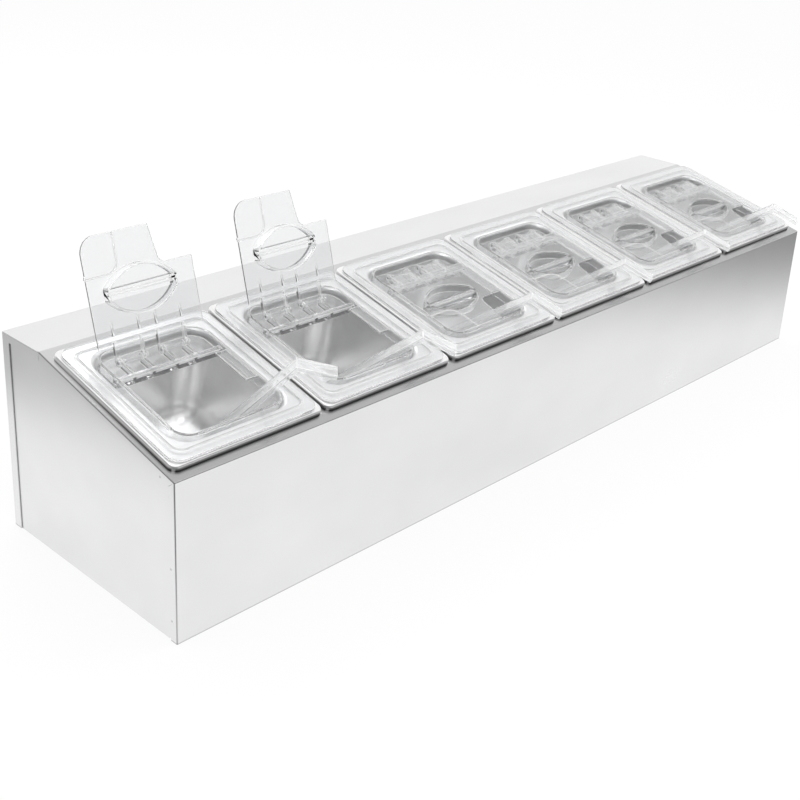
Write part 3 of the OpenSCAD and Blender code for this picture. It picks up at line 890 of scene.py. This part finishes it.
def lid_pattern(lid, flap, pans):
    """A clear lid frame in its pan's frame: border, opening, hinge well, ledges, lips and lugs."""
    edge = lid.inset
    step = lid.inset + lid.border
    wall = lid.wall
    bite = wall / 2
    end = 4 * MM  # how far ledge and lips end before a corner
    eye_low = 0.6 * MM  # how far a lug's eye stays under the lid's top
    raised = (pans.width - step, pans.depth - step)
    frame_piece = plate(
        "lid", (edge, edge), (pans.width - edge, pans.depth - edge),
        lid.seat, lid.seat + wall, (lid.radius,) * 4,
    )
    combine(frame_piece, plate("rise", (step, step), raised, lid.seat, lid.top, (lid.radius,) * 4))
    inner = step + wall
    hollow = plate(
        "hollow", (inner, inner), (pans.width - inner, pans.depth - inner),
        lid.seat - OVER, lid.top - wall, (lid.radius - wall,) * 4,
    )
    combine(frame_piece, hollow, "DIFFERENCE")
    skirt = plate(
        "skirt", (lid.left - wall, lid.front - wall), (lid.right + wall, lid.back + wall),
        lid.floor - wall, lid.top,
        (lid.left_radius + wall, lid.right_radius + wall, lid.well_radius + wall, lid.well_radius + wall),
    )
    combine(frame_piece, skirt)
    bar_back = lid.bar + lid.bar_width
    notch_back = lid.front + flap.gap + flap.notch_depth
    cuts = [
        plate("mouth", (lid.left, lid.front), (lid.right, lid.bar), lid.floor - wall - OVER, lid.top + OVER,
              (lid.left_radius, lid.right_radius, 0, 0)),
        plate("well", (lid.left, bar_back), (lid.right, lid.back), lid.floor, lid.top + OVER,
              (0, 0, lid.well_radius, lid.well_radius)),
        block((lid.left, lid.bar - OVER, lid.bar_top), (lid.right, bar_back + OVER, lid.top + OVER)),
        block((lid.left - flap.stop_out - flap.gap, notch_back - flap.stop, lid.ledge_top),
              (lid.left + OVER, notch_back + 2 * flap.gap, lid.top + OVER)),
    ]
    for cut in cuts:
        combine(frame_piece, cut, "DIFFERENCE")
    low, high = lid.ledge_top - wall, lid.ledge_top
    ledges = [
        block((lid.right - lid.ledge, notch_back + end, low), (lid.right + bite, lid.bar - end, high)),
        block((lid.left - bite, lid.front + lid.left_radius + OVER, low),
              (lid.left + lid.lip, lid.bar - end, high)),
        block((lid.left + lid.left_radius + OVER, lid.front - bite, low),
              (lid.right - flap.gap - flap.notch_width - end, lid.front + lid.lip, high)),
    ]
    for ledge in ledges:
        combine(frame_piece, ledge)
    foot = (bar_back - bite, lid.floor - bite)
    eye = lid.top - flap.axis_height - eye_low
    for left in knuckle_places(lid, flap):
        for lug in (left + flap.arm + flap.arm_gap, left + flap.knuckle - 2 * flap.arm - flap.arm_gap):
            hinge_arm(frame_piece, flap, lug, foot, flap.axis_height, eye, flap.pin)
    return smooth(soften(flatten(frame_piece), lid.soft))


def hinge_arm(body, flap, x, low, top, eye, bore):
    """Joins an arm from low up to top, with a bored eye on the hinge axis, to a lid or a flap."""
    arm = block((x, *low), (x + flap.arm, flap.axis, top))
    combine(body, combine(arm, rod((x, flap.axis, flap.axis_height), eye, flap.arm)))
    hole = rod((x - OVER, flap.axis, flap.axis_height), bore, flap.arm + 2 * OVER)
    combine(body, hole, "DIFFERENCE")


def knuckle_places(lid, flap):
    """Left faces of the two knuckles."""
    first = lid.left + flap.gap + flap.knuckle_in
    return [first, first + flap.knuckle_pitch]


class CADDY_OT_lids(bpy.types.Operator):
    """Mould the lid frame once and lay a copy on each pan, with its hinge pins"""

    bl_idname = "caddy.lids"
    bl_label = "Lid frames"

    def execute(self, context):
        scene = context.scene
        skins = plastic_skins("lid", scene.caddy_finish.lid_haze)
        pattern = lid_pattern(scene.caddy_lids, scene.caddy_flaps, scene.caddy_pans)
        set_copies(pattern, "clear_lid", skins, "lid", "lid_frame", station_matrix)
        for station in STATIONS:
            wear(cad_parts[f"hinge_pins_{station}"], skins[0])
        return {"FINISHED"}


# ---- flaps ----


def grip_lens(lid, flap, inset, bottom, top):
    """The grip's lens, taken in: the part that two wide discs and a plate share."""
    cut_off = 4 * MM  # from each point of the lens
    half_long, half_wide = flap.grip_length / 2 + cut_off, flap.grip_width / 2
    arc = (half_long ** 2 + half_wide ** 2) / (2 * half_wide)
    middle = (lid.left + flap.gap + flap.grip_in + flap.grip_length / 2, flap.grip_middle)
    reach = flap.grip_length / 2 - inset
    low = (middle[0] - reach, middle[1] - half_wide)
    high = (middle[0] + reach, middle[1] + half_wide)
    lens = plate("lens", low, high, bottom, top)
    for side in (-1, 1):
        disc = primitive(
            bpy.ops.mesh.primitive_cylinder_add, "disc",
            vertices=256, radius=arc - inset, depth=2 * (top - bottom),
            location=(middle[0], middle[1] + side * (arc - half_wide), (bottom + top) / 2),
        )
        combine(lens, disc, "INTERSECT")
    return lens


def notch_cutter(lid, flap, bottom, top):
    """What the ladle notch takes from the flap's front right corner."""
    right = lid.right - flap.gap
    front = lid.front + flap.gap
    back = front + flap.notch_depth
    left = right - flap.notch_width
    past = 5 * MM  # how far the cutter passes the flap's corner
    corner = left + (back - front) * tan(flap.notch_lean)
    outline = [
        (left - past * tan(flap.notch_lean), front - past, bottom), (right + past, front - past, bottom),
        (right + past, back, bottom), (corner, back, bottom),
    ]
    cutter = prism("notch", outline, (0, 0, top - bottom))
    setback = flap.notch_radius * tan(pi / 4 - flap.notch_lean / 2)
    with editing(cutter):
        pick("EDGE", near((corner, back, None)))
        bpy.ops.mesh.bevel(offset=setback, segments=ARC, affect="EDGES")
    return cutter


def flap_pattern(lid, flap):
    """A closed flap in its pan's frame: grip, notch, raised outline, stop, ribs and hinge arms."""
    left, right = lid.left + flap.gap, lid.right - flap.gap
    front, back = lid.front + flap.gap, lid.bar + lid.bar_width + flap.lap
    under = lid.top - flap.wall
    bite = 0.5 * MM  # how far joined parts run into each other
    ridge_right = left + flap.notch_width - 6 * MM
    notch_back = front + flap.notch_depth
    body = plate("flap", (left, front), (right, back), under, lid.top, (lid.left_radius - flap.gap, 0, 0, 0))
    combine(body, notch_cutter(lid, flap, under - OVER, lid.top + OVER), "DIFFERENCE")
    ridge = plate(
        "ridge", (left + flap.ridge_width, front + flap.ridge_width),
        (ridge_right, notch_back), under + bite, lid.top + flap.ridge_height,
        (lid.left_radius - flap.gap - flap.ridge_width, 0, flap.ridge_radius, 0),
    )
    inner = plate(
        "inner", (left - OVER, front - OVER),
        (ridge_right - flap.ridge_width, notch_back - flap.ridge_width),
        under, lid.top + 2 * flap.ridge_height, (0, 0, flap.ridge_radius - flap.ridge_width, 0),
    )
    combine(body, combine(ridge, inner, "DIFFERENCE"))
    pocket = lid.top - flap.grip_depth
    combine(body, grip_lens(lid, flap, 0, pocket - lid.wall, lid.top))
    combine(body, grip_lens(lid, flap, lid.wall, pocket, lid.top + OVER), "DIFFERENCE")
    bar_middle = flap.grip_middle - 2 * MM
    bar_front, bar_back = bar_middle - flap.grip_bar / 2, bar_middle + flap.grip_bar / 2
    bar = grip_lens(lid, flap, lid.wall - bite, pocket - bite, lid.top)
    combine(bar, block((left, bar_front, pocket - lid.wall), (right, bar_back, lid.top)), "INTERSECT")
    combine(body, bar)
    slot = flap.grip_bar / 2 - lid.wall
    grip_left = left + flap.grip_in
    combine(body, block((grip_left, bar_middle - slot, pocket - lid.wall - OVER),
                        (grip_left + flap.grip_length, bar_middle + slot, under - bite / 4)), "DIFFERENCE")
    combine(body, block((left - flap.stop_out, notch_back - flap.stop + flap.gap, under),
                        (left + bite, notch_back, lid.top)))
    eye = lid.top - flap.axis_height
    bore = flap.pin + 0.08 * MM
    root, bridge_end = (back - 4 * MM, flap.axis_height), flap.axis - 4.5 * MM
    rib_end = lid.bar - 2 * flap.gap
    for place in knuckle_places(lid, flap):
        for arm in (place, place + flap.knuckle - flap.arm):
            hinge_arm(body, flap, arm, root, lid.top, eye, bore)
            side = arm + (flap.arm - flap.rib_width) / 2
            rib = [(side, rib_end - flap.rib, under + bite / 4), (side, rib_end, under - flap.rib_height),
                   (side, rib_end, under + bite)]
            combine(body, prism("rib", rib, (flap.rib_width, 0, 0)))
        combine(body, block((place + flap.arm - bite, back - bite, lid.top - lid.wall),
                            (place + flap.knuckle - flap.arm + bite, bridge_end, lid.top)))
    return smooth(soften(body, flap.soft))


def flap_matrix(station):
    """Where a flap lies: closed in its lid, or turned open where it is stored open."""
    flap = bpy.context.scene.caddy_flaps
    axis = Vector((0, flap.axis, flap.axis_height))
    stored_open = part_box(f"flip_lid_{station}")[1][2] > sheet_high.z + flap.grip_width
    turn = Matrix.Rotation(-flap.open_angle if stored_open else 0, 4, "X")
    swing = Matrix.Translation(axis) @ turn @ Matrix.Translation(-axis)
    return station_matrix(station) @ swing


class CADDY_OT_flaps(bpy.types.Operator):
    """Mould the flap once, hang a copy in each lid and leave those open that are stored open"""

    bl_idname = "caddy.flaps"
    bl_label = "Flaps"

    def execute(self, context):
        scene = context.scene
        skins = plastic_skins("flap", scene.caddy_finish.flap_haze)
        pattern = flap_pattern(scene.caddy_lids, scene.caddy_flaps)
        set_copies(pattern, "clear_flap", skins, "flap", "flip_lid", flap_matrix)
        return {"FINISHED"}


# ---- ladles ----


def ladle_pattern(ladle):
    """A ladle along X with its bowl's middle at the origin, moulded as a channel with a bent tip."""
    drop = ladle.bowl * sin(ladle.bowl_turn)
    lap = ladle.bowl / 2
    start, end = drop - lap, drop + ladle.stem
    middle = ((start + end) / 2, 0, -drop)
    scale = (end - start, ladle.width, 1)
    handle = primitive(bpy.ops.mesh.primitive_plane_add, "ladle", scale, size=1, location=middle)
    tip = Vector((cos(ladle.tip_turn), 0, -sin(ladle.tip_turn))) * ladle.tip
    under = Vector((-sin(ladle.tip_turn), 0, -cos(ladle.tip_turn))) * ladle.depth
    bend = Vector((-ladle.depth * tan(ladle.tip_turn / 2), 0, -ladle.depth))
    down = Vector((0, 0, -ladle.depth))
    with editing(handle):
        pick("EDGE", near((end, None, None)))
        extrude(tip)
        for side in (-1, 1):
            y = side * ladle.width / 2
            pick("EDGE", near((None, y, None)))
            extrude(down)
            for place, wanted in (((end, y, -drop), bend), ((end + tip.x, y, -drop + tip.z), under)):
                pick("VERT", near(Vector(place) + down))
                bpy.ops.transform.translate(value=wanted - down)
        recalculate()
        mesh = bmesh.from_edit_mesh(handle.data)
        mesh.faces.ensure_lookup_table()
        top = max(mesh.faces, key=lambda face: face.calc_area())
        if top.normal.z < 0:
            bpy.ops.mesh.select_all(action="SELECT")
            bpy.ops.mesh.flip_normals()
    finish_modifier(handle, "SOLIDIFY", thickness=ladle.wall, offset=-1, use_even_offset=True)
    soften(handle, ladle.soft)
    cut = ball(ladle.bowl - ladle.wall)
    bowl = ball(ladle.bowl)
    reach = 30 * MM  # past the bowl on all sides
    combine(bowl, block((-reach, -reach, 0), (reach, reach, reach)), "DIFFERENCE")
    settle(bowl, Matrix.Rotation(ladle.bowl_turn, 4, "Y"))
    combine(combine(handle, bowl), cut, "DIFFERENCE")
    return smooth(handle)


def ball(radius):
    """A round ball at the origin."""
    return primitive(bpy.ops.mesh.primitive_uv_sphere_add, "ball", segments=48, ring_count=24, radius=radius)


def ladle_matrix(station):
    """Where a ladle stands in its pan: the bowl on the floor, the stem through the notch."""
    ladle, pans = bpy.context.scene.caddy_ladles, bpy.context.scene.caddy_pans
    leave = Vector((pans.width - ladle.exit_side, ladle.exit_front, ladle.exit_height))
    foot, moved = LADLE_STANDS.get(station, LADLE_STAND)
    spot = Vector((*(value * MM for value in foot), 0))
    spot.z = pans.rim - pans.drop + pans.sheet + pans.lift + ladle.bowl
    leave -= Vector((*(value * MM for value in moved), 0))
    way = leave - spot
    run = hypot(way.x, way.y)
    set_off = ladle.bowl * sin(ladle.bowl_turn)
    slope = atan2(way.z, run) + asin(set_off / hypot(run, way.z))
    turn = Matrix.Rotation(atan2(way.y, way.x), 4, "Z") @ Matrix.Rotation(-slope, 4, "Y")
    return station_matrix(station) @ Matrix.Translation(spot) @ turn


class CADDY_OT_ladles(bpy.types.Operator):
    """Mould the ladle once and stand a copy in each pan"""

    bl_idname = "caddy.ladles"
    bl_label = "Ladles"

    def execute(self, context):
        scene = context.scene
        skins = plastic_skins("ladle", scene.caddy_finish.ladle_haze)
        set_copies(ladle_pattern(scene.caddy_ladles), "clear_ladle", skins, "ladle", "ladle", ladle_matrix)
        return {"FINISHED"}


# ---- stage ----


def camera_matrix(stage):
    """The camera's place and turn."""
    level = cos(stage.tilt)
    forward = Vector((level * sin(stage.heading), level * cos(stage.heading), -sin(stage.tilt)))
    right = forward.cross(Vector((0, 0, 1))).normalized()
    up = right.cross(forward)
    side = cos(stage.roll) * right + sin(stage.roll) * up
    top = cos(stage.roll) * up - sin(stage.roll) * right
    turn = Matrix((side, top, -forward)).transposed().to_4x4()
    return Matrix.Translation(Vector(stage.camera_place)) @ turn


def ray_kinds(shader):
    """Whether a ray comes from the camera, from steel or plastic, and of these, through plastic."""
    names = ("Is Camera Ray", "Is Glossy Ray", "Is Transmission Ray")
    return [shader.add("ShaderNodeLightPath", out=name) for name in names]


class CADDY_OT_stage(bpy.types.Operator):
    """Lay the floor, hang the lamps and set up the camera"""

    bl_idname = "caddy.stage"
    bl_label = "Stage"

    def execute(self, context):
        stage = context.scene.caddy_stage
        self.floor(stage)
        self.world(context)
        self.lamps()
        deselect()
        bpy.ops.object.camera_add()
        camera = context.object
        camera.matrix_world = camera_matrix(stage)
        camera.data.sensor_width = 36
        camera.data.lens = camera.data.sensor_width * stage.focus / IMAGE
        camera.data.shift_y = -stage.rise / IMAGE
        camera.data.clip_start = 0.01
        context.scene.camera = camera
        context.scene.view_settings.view_transform = "Standard"
        return {"FINISHED"}

    def floor(self, stage):
        """A plain pale floor that keeps a faint shadow, and that is dark to the steel far to the right."""
        place = (0, 0, sheet_low.z - 0.2 * MM)
        floor = primitive(bpy.ops.mesh.primitive_plane_add, "floor", size=stage.floor, location=place)
        shader = Shader(bpy.data.materials.new("pale_floor"))
        camera, glossy, through = ray_kinds(shader)
        x, y, _ = shader.parts(shader.place())
        right_slant, right_start, right_end, right_level = 1.5, 0.46, 1.28, 0.15
        left_slant, left_start, left_end, left_level = 3.8, 2.70, 3.20, 0.45
        corner_start, corner_end, corner_level = -0.06, -0.02, 0.15
        shadow = 0.15  # share of the shading that the floor keeps
        right = shader.steps(x - y * right_slant, right_start, right_end, 1.0, right_level)
        left = shader.steps(y - x * left_slant, left_start, left_end, 1.0, left_level)
        inside = x.math("MAXIMUM", x - sheet_low.x, y - sheet_low.y)
        corner = shader.steps(inside, corner_start, corner_end, corner_level, 1.0)
        lit = shader.add("ShaderNodeBsdfDiffuse", None, Color=(0.9, 0.9, 0.9, 1))
        strength = camera + through + (glossy - through) * right * left * corner
        white = shader.add("ShaderNodeEmission", None, Color=(1, 1, 1, 1), Strength=strength)
        shader.finish(shader.add("ShaderNodeMixShader", None, (camera + glossy) * (1 - shadow), lit, white))
        floor.data.materials.append(shader.owner)

    def world(self, context):
        """A white cove ahead of the camera, a wide soft box overhead, and a dark room behind the camera."""
        shader = Shader(context.scene.world or bpy.data.worlds.new("studio"))
        context.scene.world = shader.owner
        camera, glossy, _ = ray_kinds(shader)
        x, y, height = shader.parts(shader.add("ShaderNodeTexCoord", out="Generated"))
        cove = shader.steps(height, 0.60, 0.80, 1.0, 0.90) + shader.steps(height, 0.86, 0.95, 0.0, 0.60)
        ahead = shader.steps(x * 0.68 + y * 0.73, 0.05, 0.45, 0.18, 1.0)
        seen = cove * shader.either(ahead, shader.steps(height, 0.40, 0.65))
        level = camera + glossy * seen + (1 - camera - glossy) * 0.95
        shader.finish(shader.add("ShaderNodeBackground", None, Color=(1, 1, 1, 1), Strength=level))

    def lamps(self):
        """Soft lamps, unseen in the steel: one over the left corner, one at the right and one behind."""
        lamps = [
            ("key_lamp", (-0.9, -0.9, 1.7), 1.2, 9),
            ("fill_lamp", (1.4, -0.6, 1.3), 1.0, 5),
            ("back_lamp", (0.2, 1.6, 1.5), 1.4, 8),
        ]
        for name, place, size, power in lamps:
            deselect()
            bpy.ops.object.light_add(type="AREA", location=place)
            lamp = bpy.context.object
            lamp.name = name
            lamp.data.size = size
            lamp.data.energy = power
            lamp.visible_glossy = False
            lamp.rotation_euler = (-Vector(place)).to_track_quat("-Z", "Y").to_euler()


# ---- add-on ----


class CADDY_PT_panel(bpy.types.Panel):
    """Sizes, finishes and build buttons"""

    bl_idname = "CADDY_PT_panel"
    bl_label = "Condiment Caddy"
    bl_space_type = "VIEW_3D"
    bl_region_type = "UI"
    bl_category = "Caddy"

    def draw(self, context):
        for name, kind in SETTINGS.items():
            box = self.layout.box()
            box.label(text=kind.__doc__)
            for field in kind.__annotations__:
                box.prop(getattr(context.scene, name), field)
        for operator in OPERATORS:
            self.layout.operator(operator.bl_idname)


SETTINGS = {
    "caddy_housing": HousingSettings, "caddy_pans": PanSettings, "caddy_lids": LidSettings,
    "caddy_flaps": FlapSettings, "caddy_ladles": LadleSettings, "caddy_finish": FinishSettings,
    "caddy_stage": StageSettings,
}
OPERATORS = [
    CADDY_OT_housing, CADDY_OT_pans, CADDY_OT_lids, CADDY_OT_flaps, CADDY_OT_ladles, CADDY_OT_stage,
]


def register():
    for kind in [*SETTINGS.values(), *OPERATORS, CADDY_PT_panel]:
        bpy.utils.register_class(kind)
    for name, kind in SETTINGS.items():
        setattr(bpy.types.Scene, name, bpy.props.PointerProperty(type=kind))


def unregister():
    for name in SETTINGS:
        delattr(bpy.types.Scene, name)
    for kind in reversed([*SETTINGS.values(), *OPERATORS, CADDY_PT_panel]):
        bpy.utils.unregister_class(kind)


def main():
    register()
    for operator in OPERATORS:
        group, name = operator.bl_idname.split(".")
        getattr(getattr(bpy.ops, group), name)()


if __name__ == "__main__":
    main()
